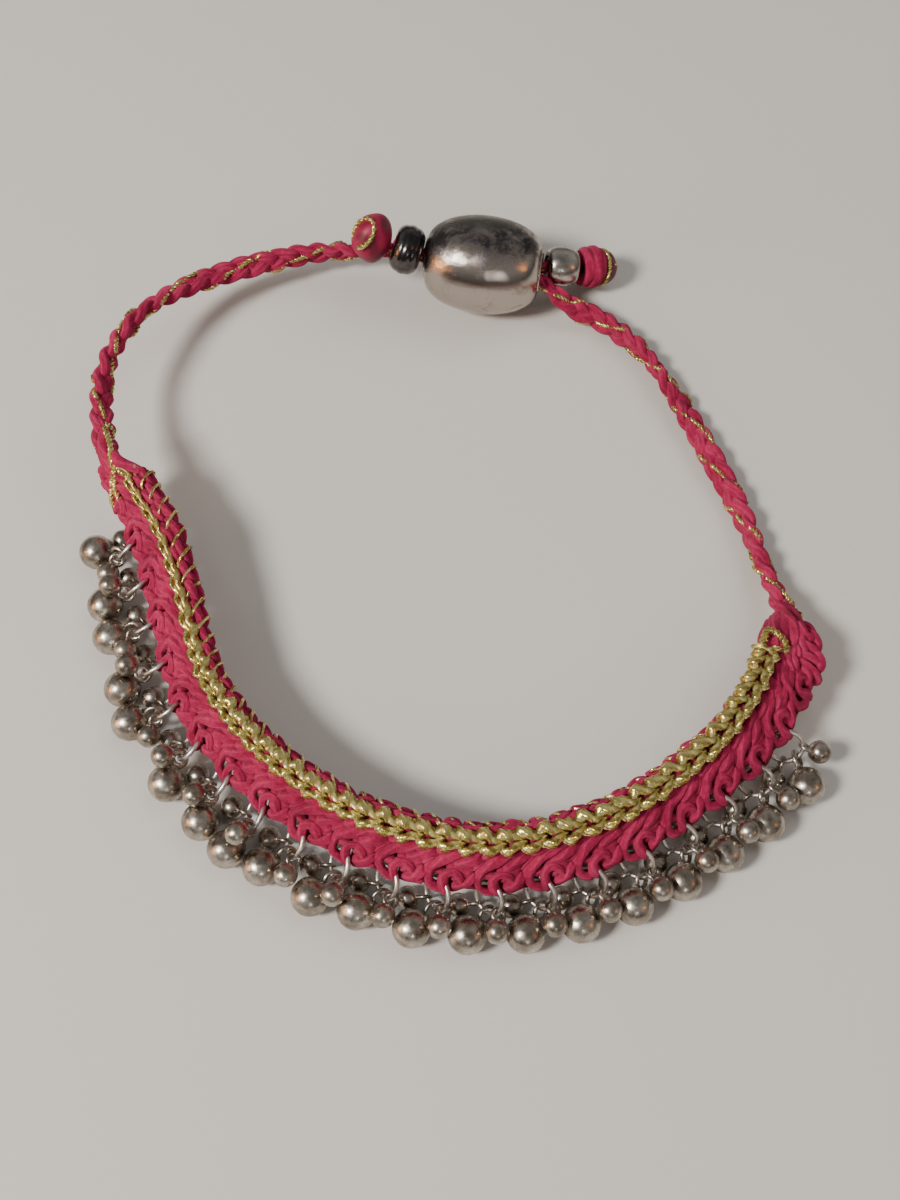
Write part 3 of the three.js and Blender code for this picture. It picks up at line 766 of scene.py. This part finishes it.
def buildBraid(name, route):
    firstTurn, goldTurn, goldPitch = braid[name]
    lengths, table = curveTable(route, 60)
    at = np.linspace(0, lengths[-1], round(lengths[-1] / braid["step"]))
    even = pick(at, lengths, table)
    centres, size = even[:, :3], even[:, 4] / braid["full"]
    tangents = unit(np.gradient(centres, axis=0))
    # the braid starts flat to the table, with its wide side level, and turns slowly
    level = unit(np.cross((0, 0, 1), tangents))
    above = np.cross(tangents, level)
    turn = firstTurn + 2 * math.pi * at / braid["turnEvery"]
    across = level * np.cos(turn)[:, None] + above * np.sin(turn)[:, None]
    over = above * np.cos(turn)[:, None] - level * np.sin(turn)[:, None]
    loose = 0.97 + 0.04 * np.sin(0.9 * at) + 0.04 * np.sin(2.1 * at + 1)
    yarns, gold = newBm(), newBm()
    spots = []
    for strand in range(3):
        phase = 2 * math.pi * (at / braid["period"] + strand / 3)
        wide = braid["wide"] * np.sin(phase) * size * loose
        deep = braid["deep"] * np.sin(2 * phase) * size
        path = centres + across * wide[:, None] + over * deep[:, None]
        beside = unit(np.cross(over, np.gradient(path, axis=0)))
        spots.append(np.stack([wide, deep], axis=1))
        for hand in (-1, 1):
            pairPath = path + beside * (hand * braid["pair"] * size)[:, None]
            addStrand(yarns, pairPath, braid["yarn"] * size, sides=10)
    spots = np.array(spots)
    lobe = (braid["yarn"] + braid["pair"] * 0.7) * size
    thick = braid["goldThick"] * size
    for thread in range(2):
        # the thread goes round on the outside of whichever strand is there, and dips between its dashes
        phase = goldTurn + thread * math.pi - 2 * math.pi * at / goldPitch - turn
        way = np.stack([np.cos(phase), np.sin(phase)], axis=1)
        ahead = np.sum(spots * way, axis=2)
        aside = np.sum(spots**2, axis=2) - ahead**2
        edge = ahead + np.sqrt(np.clip(lobe**2 - aside, 0, None))
        outer = np.max(np.where(aside < lobe**2, edge, 0), axis=0)
        outer = np.convolve(np.pad(outer, 2, mode="edge"), np.ones(5) / 5, mode="valid")
        dash = (at / braid["goldDash"] + 0.5 * thread) % 1
        reach = outer - braid["goldDip"] * np.exp(-((dash - 0.5) / 0.14) ** 2) * size
        path = centres + across * (reach * way[:, 0])[:, None] + over * (reach * way[:, 1])[:, None]
        # it doesn't dip into the table
        path[:, 2] = np.maximum(path[:, 2], toFrame[2] + (1 + braid["goldLobes"]) * thick)
        addStrand(gold, path, thick, sides=8, lobes=2, lobeDeep=braid["goldLobes"], lobePitch=1.1)
    toObject(name + "_braid", yarns, cotton, [name + "_cord"])
    toObject(name + "_gold_thread", gold, lurex)


# strands that close the band's corners on to the braids: along from its end, up the band, out, thickness
corners = {"left": [
    [(-4.4, 1.2, 0.2, 0.9), (-3.2, 0.9, 0.6, 1.15), (-1.9, 1.1, 0.8, 1.2), (-0.6, 1.3, 0.7, 1.15),
     (0.8, 1.3, 0.6, 1.05), (2.2, 1.5, 0.5, 0.8)],
    [(-4.4, 2, 0.7, 0.9), (-3.2, 2.2, 1, 1.15), (-2, 2.2, 1.1, 1.2), (-0.8, 2.3, 1, 1.1), (0.6, 3, 0.6, 1.05),
     (2.4, 4.9, 0.3, 0.9)],
    [(-1.6, 2.5, 0.2, 0.9), (-0.5, 3, 0.4, 1.15), (0.8, 3.8, 0.4, 1.15), (2.2, 5, 0.4, 1.05),
     (3.6, 6, 0.4, 0.8)],
    [(-1, 0.9, 0.4, 0.8), (0.2, 0.7, 0.6, 1.05), (1.6, 0.6, 0.7, 1.1), (3, 0.9, 0.7, 1),
     (4.2, 1.3, 0.5, 0.7)],
    [(-0.4, 1.9, 0.7, 0.9), (0.8, 2.3, 0.8, 1.1), (2.2, 2.9, 0.8, 1.1), (3.6, 3.7, 0.8, 1),
     (4.8, 4.2, 0.5, 0.7)],
], "right": [
    [(4.2, 0.6, -1.2, 0.9), (3, 0.3, -0.6, 1.05), (1.8, 0.4, -0.1, 1.1), (0.4, 0.6, 0.4, 1.05),
     (-1, 0.8, 0.7, 1), (-2.4, 1.1, 0.6, 0.8)],
    [(4.2, 1.6, -1.2, 0.9), (3, 1.5, -0.6, 1.05), (1.8, 1.6, 0.1, 1.15), (0.6, 1.8, 0.7, 1.1),
     (-0.6, 2.3, 1, 1), (-2, 3.2, 0.7, 0.8)],
    [(1.2, 0.1, -0.2, 0.9), (0.5, -0.4, 0.2, 1.05), (-0.6, -0.5, 0.4, 1.05), (-1.8, -0.1, 0.5, 1),
     (-2.9, 0.3, 0.5, 0.8)],
    [(2.6, 1.8, -0.7, 1), (1.4, 2.2, -0.1, 1.2), (0.3, 2.8, 0.2, 1.25), (-0.9, 3.6, 0.35, 1.2),
     (-2.4, 4.6, 0.4, 1)],
    [(2.4, 2.2, -1, 1), (1.2, 2.7, -0.5, 1.2), (0, 3.3, -0.2, 1.2), (-1.4, 4.2, 0, 1)],
    [(2.8, 2, -0.9, 1), (1.6, 2.8, -0.3, 1.1), (0.4, 3.7, 0.1, 1.1), (-0.9, 4.7, 0.3, 1.1),
     (-2.4, 5.6, 0.4, 0.9)],
    [(2.6, 2.4, -1.1, 1), (1.4, 3.1, -0.6, 1.1), (0.1, 4.2, -0.2, 1.15), (-1.3, 5.4, 0, 1.1),
     (-2.8, 6.4, 0.2, 0.9)],
    [(2.2, 2.9, -1.3, 0.9), (1, 3.9, -0.9, 1), (-0.2, 5.1, -0.5, 1.1), (-1.6, 6.3, -0.3, 1.05),
     (-3.2, 7.1, -0.1, 0.9)],
    [(-5, 0.4, 0.5, 0.8), (-4.2, 0.1, 0.75, 1.2), (-3.3, 0.2, 0.8, 1.2), (-2.5, 0.9, 0.6, 0.8)],
    [(-2.7, 0, 0.4, 0.8), (-1.8, -0.35, 0.6, 1.2), (-0.8, -0.3, 0.6, 1.2), (0.1, 0.4, 0.4, 0.8)],
    [(0.9, 1, 0.4, 0.9), (-0.2, 1.5, 0.8, 1.05), (-1.4, 1.8, 0.9, 1.05), (-2.6, 1.9, 0.8, 1),
     (-3.8, 1.8, 0.5, 0.7)],
]}
# metallic thread: the chain's first loops at the left, and the bow that ends it at the right
cornerThreads = {"left": [
    [(1, 3.4, 1, 1.3), (1.7, 2.8, 1.2, 1.5), (2.1, 2.1, 1.2, 1.5), (3, 1.2, 1.15, 1.4), (4.2, 0.6, 1, 1.4),
     (4.9, 0.9, 0.7, 1.2)],
    [(1.2, 3.5, 1, 1.3), (2, 2.9, 1.3, 1.5), (2.7, 2.3, 1.35, 1.5), (3.4, 1.9, 1.3, 1.5), (4.4, 2, 1.25, 1.5),
     (5.2, 1.9, 0.8, 1.2)],
], "right": [
    [(-4.6, 7.3, 0.5, 1.4), (-3.3, 7.6, 0.65, 1.6), (-1.9, 7.2, 0.75, 1.7), (-0.7, 6.3, 0.85, 1.7),
     (-0.1, 5.3, 0.95, 1.7), (-0.4, 4.4, 1, 1.7), (-1.4, 4, 1.1, 1.7), (-2.5, 4.4, 1.2, 1.7),
     (-3.8, 5, 1.1, 1.4)],
]}
# the braid's metallic thread where it comes down on to the band: x, y, z and thickness
braidEndThread = [
    (-38.5, 9.6, 9.6, 1), (-38, 8.6, 10.1, 1.3), (-37.6, 7.5, 10.35, 1.4), (-37.3, 6.7, 10.5, 1.4),
    (-37.1, 5.8, 10.4, 1.4), (-37.1, 5, 10, 1.5), (-36.9, 4.45, 9.6, 1.5), (-36.3, 4, 9.2, 1.5),
    (-35.6, 3.4, 8.8, 1.3),
]
cornerThreadLook = {"radius": 0.22, "step": 0.2, "lobes": 2, "lobeDeep": 0.2, "lobePitch": 1.2}


def laidRows(rows, start=0):
    # rows of along, up the band, out and thickness become rows of x, y, z and thickness
    rows = np.array(rows)
    return np.hstack([onBand(start + rows[:, 0], rows[:, 1], rows[:, 2]), rows[:, 3:]])


def buildCorners():
    strands, threads = newBm(), newBm()
    addYarn(threads, braidEndThread, **cornerThreadLook)
    for side, start in (("left", 0), ("right", bandLong)):
        for rows in corners[side]:
            addYarn(strands, laidRows(rows, start), band["yarn"], sides=10)
        for rows in cornerThreads[side]:
            addYarn(threads, laidRows(rows, start), **cornerThreadLook)
    toObject("corner_stitches", strands, cotton)
    toObject("corner_threads", threads, lurex)


# lay: degrees by which the first rings lie flatter than the band
ring = {"radius": 1.75, "wire": 0.26, "turn": 45, "seat": 1.35, "lay": (0, 7, 9, 9, 9, 9, 8, 5)}
largeBell = {"radius": 1.95, "loop": 0.9, "slack": 0.22, "wire": 0.23, "sink": 0.1}
smallBell = {"radius": 1.22, "loop": 0.65, "slack": 0.3, "around": 50, "wire": 0.21, "sink": 0.1}


def ringPlace(k):
    row = pick(np.array([band["firstEyelet"] + k * band["pitch"]]), bandLengths, bandFrames)[0]
    foot, along, upBand, outOfBand = row[:3], row[3:6], row[6:9], row[9:12]
    lay = math.radians(ring["lay"][k] if k < len(ring["lay"]) else 0)
    face = outOfBand * math.cos(lay) + upBand * math.sin(lay)
    rise = upBand * math.cos(lay) - outOfBand * math.sin(lay)
    turn = math.radians(ring["turn"])
    across = along * math.cos(turn) + face * math.sin(turn)
    return {"centre": foot + upBand * ring["seat"] - rise * ring["radius"], "across": across, "down": -rise}


def ringPoint(place, degrees):
    angle = math.radians(degrees)
    across, down = place["across"] * ring["radius"], place["down"] * ring["radius"]
    return place["centre"] + across * math.sin(angle) + down * math.cos(angle)


def ringTangent(place, degrees):
    angle = math.radians(degrees)
    return place["across"] * math.cos(angle) - place["down"] * math.sin(angle)


def ballCentre(points, anchor, bell):
    # the bell hangs at a known reach from its ring, towards where most of the solid's points lie on its ball
    reach = bell["slack"] + bell["loop"] + bell["radius"] - bell["sink"]
    tries = 1200
    share = np.arange(tries) + 0.5
    tilt, spin = np.arccos(1 - 2 * share / tries), math.pi * (1 + 5**0.5) * share
    ways = np.stack([np.sin(tilt) * np.cos(spin), np.sin(tilt) * np.sin(spin), np.cos(tilt)], axis=1)
    for spread in (0.09, 0.03, 0.01):
        centres = anchor + ways * reach
        off = np.abs(np.linalg.norm(points[None] - centres[:, None], axis=2) - bell["radius"])
        best = ways[np.argmax(np.sum(np.exp(-(off / spread) ** 2), axis=1))]
        ways = unit(best + (ways - best) * 0.16)
    return anchor + best * reach


def addBall(bm, centre, rise, radius):
    side = unit(np.cross(rise, (0.3, 1, 0.2)))
    turn = Matrix((side, np.cross(rise, side), rise)).transposed().to_4x4()
    place = Matrix.Translation(centre) @ turn
    bmesh.ops.create_uvsphere(bm, u_segments=28, v_segments=18, radius=radius, matrix=place)


def addWireRing(bm, centre, across, down, radius, wire, steps):
    normal = np.cross(across, down)

    def surface(along, around):
        angle, turn = 2 * math.pi * along, 2 * math.pi * around
        away = np.outer(np.sin(angle), across) + np.outer(np.cos(angle), down)
        reach = (radius + wire * np.cos(turn))[:, None]
        return centre + away * reach + np.outer(wire * np.sin(turn), normal)

    rolledGrid(bm, steps, 10, surface)


def buildCharms():
    around = smallBell["around"]
    for k in range(band["charms"]):
        number = f"{k + 1:02d}"
        ringNode = "ring_with_bells_" + number
        place = ringPlace(k)
        wires, largeOne, smallOnes = newBm(), newBm(), newBm()
        addWireRing(wires, place["centre"], place["across"], place["down"], ring["radius"], ring["wire"], 36)
        for degrees, bell, bm, node in (
            (0, largeBell, largeOne, "large_bell_" + number),
            (around, smallBell, smallOnes, ringNode),
            (-around, smallBell, smallOnes, ringNode),
        ):
            points = readPoints(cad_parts[node].data) * 1000 + toFrame
            anchor = ringPoint(place, degrees)
            centre = ballCentre(np.unique(points.round(3), axis=0), anchor, bell)
            rise = unit(anchor - centre)
            normal = ringTangent(place, degrees)
            normal = unit(normal - rise * np.dot(normal, rise))
            addBall(bm, centre, rise, bell["radius"])
            eye = anchor - rise * bell["slack"]
            addWireRing(bm, eye, np.cross(rise, normal), rise, bell["loop"], bell["wire"], 24)
        toObject("wire_ring_" + number, wires, wireSilver, [ringNode])
        toObject("large_bell_ball_" + number, largeOne, bellSilver, ["large_bell_" + number])
        toObject("small_bell_balls_" + number, smallOnes, bellSilver)


sliderTurn = math.radians(slider["turn"])
slider["towards"] = np.array(slider["centre"]) + (math.cos(sliderTurn), math.sin(sliderTurn), 0)
smallBeads = {
    "left": {"centre": (-5.2, 36.85, 7.85), "towards": (-7.3, 37.25, 8.45), "long": 3.5, "radius": 3.0,
             "bore": 1.3, "rim": 1.7, "grooves": (0.6, -0.5)},
    "right": {"centre": (13.8, 36.75, 4.95), "towards": (15.8, 36.85, 4.55), "long": 3.9, "radius": 2.45,
              "bore": 1.3, "rim": 1.6},
}
groove = {"deep": 0.07, "wide": 0.22}


def axisFrame(size):
    # the piece's centre, its axis and the two sides at right angles to it
    centre = np.array(size["centre"], float)
    axis = unit(np.array(size["towards"], float) - centre)
    side = unit(np.cross((0, 0, 1), axis))
    return centre, axis, side, np.cross(axis, side)


def roundAxis(place, height, reach, turn):
    # points at a height along the axis, a reach from it and a turn about it
    centre, axis, side, over = place
    wide, high = reach * np.cos(turn), reach * np.sin(turn)
    return centre + np.outer(height, axis) + np.outer(wide, side) + np.outer(high, over)


def buildBead(name, size, finish):
    place = axisFrame(size)
    half, rim, mouth = size["long"] / 2, size["rim"], size.get("mouth", size["bore"])
    angles = np.linspace(-math.pi / 2, math.pi / 2, size.get("steps", 48) + 1)
    radii = rim + (size["radius"] - rim) * np.cos(angles)
    heights = half * np.sin(angles)
    for height in size.get("grooves", ()):
        radii = radii - groove["deep"] * np.exp(-((heights - height) / groove["wide"]) ** 2)
    # the outline is closed through the bore
    outline = np.array([
        (mouth, -half + 0.02), (rim - 0.05, -half), *zip(radii[1:-1], heights[1:-1]), (rim - 0.05, half),
        (mouth, half - 0.02), (size["bore"], half - 1), (size["bore"], 1 - half), (mouth, -half + 0.02),
    ])
    bm = newBm()

    def surface(along, around):
        reach, height = outline[np.rint(along * (len(outline) - 1)).astype(int)].T
        return roundAxis(place, height, reach, 2 * math.pi * around)

    rolledGrid(bm, len(outline) - 1, size.get("sides", 72), surface)
    if "lip" in size:
        centre, axis, side, over = place
        for end in (-1, 1):
            addWireRing(bm, centre + axis * end * (half + 0.02), side, over, mouth + 0.1, size["lip"], 56)
    toObject(name + "_metal", bm, finish, [name])


knots = {
    "left": {"centre": (-9.5, 37.8, 8.9), "towards": (-11.5, 38.3, 9.3), "halfLong": 2.4, "radius": 2.95},
    # wraps: height along the axis, reach from it and thickness
    "right": {"centre": (18.3, 38.1, 3.4), "towards": (20.2, 38.6, 2.7), "capAt": 0.8, "capHalf": 1.85,
              "capRadius": 2.05, "wraps": ((-1.75, 1.62, 0.8), (-0.8, 1.8, 0.84), (-0.05, 1.74, 0.62))},
}
# the curl of thread left on the left knot's singed face, which looks away from the bead and up
curl = {"looks": (0.06, -0.5, 0.7), "from": -70, "to": 235, "wide": (0.66, 0.5), "tall": 1.25,
        "proud": 0.06, "thick": (0.46, 0.22), "steps": 46}


def buildLeftKnot():
    size = knots["left"]
    place = axisFrame(size)
    bm = newBm()

    def surface(along, around):
        angle, turn = math.pi * along, 2 * math.pi * around
        away = np.sin(angle)
        swell = 1 + 0.05 * np.sin(3 * angle + 2 * turn) * away + 0.03 * np.cos(5 * turn) * away**2
        height = -size["halfLong"] * np.cos(angle) * swell
        return roundAxis(place, height, size["radius"] * away * swell, turn)

    rolledGrid(bm, 40, 56, surface)
    toObject("left_knot_ball", bm, singed, ["left_knot"])
    centre, axis, side, over = place
    facing = unit(0.5 * axis + np.array(curl["looks"]))
    right = unit(np.cross((0, 0, 1), facing))
    top = np.cross(facing, right)
    turn = np.linspace(math.radians(curl["from"]), math.radians(curl["to"]), curl["steps"])
    wide = np.linspace(*curl["wide"], curl["steps"])
    tall = wide * curl["tall"]
    ways = unit(facing + np.outer(wide * np.cos(turn), right) + np.outer(tall * np.sin(turn), top))
    share = [ways @ axis / size["halfLong"], ways @ side / size["radius"], ways @ over / size["radius"]]
    path = centre + ways * (1 / np.linalg.norm(share, axis=0) + curl["proud"])[:, None]
    bm = newBm()
    thick = np.linspace(*curl["thick"], curl["steps"])
    addStrand(bm, path, thick, sides=8, lobes=2, lobeDeep=0.2, lobePitch=1.3, flat=0.7)
    toObject("left_knot_curl", bm, lurex)


def buildRightKnot():
    size = knots["right"]
    place = axisFrame(size)
    bm = newBm()
    for height, reach, thick in size["wraps"]:
        turn = np.linspace(0, 2 * math.pi * 1.02, 44)
        path = roundAxis(place, height + 0.14 * np.sin(2 * turn + height), reach, turn + height)
        addStrand(bm, path, thick, sides=12)
    toObject("right_knot_wraps", bm, cotton, ["right_knot"])
    bm = newBm()

    def surface(along, around):
        angle, turn = math.pi * along, 2 * math.pi * around
        swell = 1 + 0.06 * np.sin(2 * turn + 3 * angle)
        height = size["capAt"] - size["capHalf"] * np.cos(angle)
        return roundAxis(place, height, size["capRadius"] * np.sin(angle) * swell, turn)

    rolledGrid(bm, 30, 40, surface)
    toObject("right_knot_end", bm, burnt)
    # one turn of thread round the end's foot, and a streak of it over the end
    bm = newBm()
    path = roundAxis(place, 0.72, 2.12, np.linspace(0, 2 * math.pi, 48))
    addStrand(bm, path, 0.24, sides=8, lobes=2, lobeDeep=0.2, lobePitch=1.0)
    centre, axis, side, over = place
    streak = np.linspace(0.35, 1.35, 14)
    path = centre + np.outer(size["capAt"] + 1.9 * np.sin(streak), axis)
    path = path + np.outer(2.1 * np.cos(streak) * 0.75, over) - np.outer(2.1 * np.cos(streak) * 0.35, side)
    addStrand(bm, path, 0.26, sides=8, flat=0.5)
    toObject("right_knot_thread", bm, lurex)


makeCamera()
for name, lamp in lights.items():
    makeLight(name, lamp)
makeRoom()
makeFloor()
print("studio ready")

# each finish is a material and the name of its slot
cotton = makeCotton("crimson_cotton_yarn", cottonLook), "crimson_cotton"
# the core's darker crimson is painted shade between the stitches
shadedCoreCotton = makeCotton("crimson_cotton_painted_shade", coreShadeLook), "crimson_cotton"
singed = makeSinged("singed_crimson_yarn", (0.24, 0.005, 0.036), singedLook), "crimson_cotton"
burnt = makeSinged("burnt_crimson_end", (0.11, 0.008, 0.018), singedLook), "crimson_cotton"
lurex = makeLurex("gold_lurex_thread", lurexLook), "gold_thread"
bellSilver = makeTarnished("tarnished_bell_silver", tarnishLooks["bell_silver"]), "oxidised_silver"
wireSilver = makeTarnished("tarnished_wire", tarnishLooks["wire_silver"]), "oxidised_silver"
gunmetal = makeTarnished("dark_bead_metal", tarnishLooks["gunmetal"]), "dark_silver"
smallBeadSilver = makeTarnished("small_bead_metal", tarnishLooks["small_bead"]), "polished_silver"
bigBeadSilver = makeBigBeadSilver("sliding_bead_metal", bigBeadLook), "polished_silver"
print("finishes ready")

buildBraid("left", leftRoute)
buildBraid("right", rightRoute)
buildCorners()
buildStitches()
buildCore()
buildChain()
buildWhipping()
buildCharms()
buildBead("slider_bead", slider, bigBeadSilver)
buildBead("left_small_bead", smallBeads["left"], gunmetal)
buildBead("right_small_bead", smallBeads["right"], smallBeadSilver)
buildLeftKnot()
buildRightKnot()
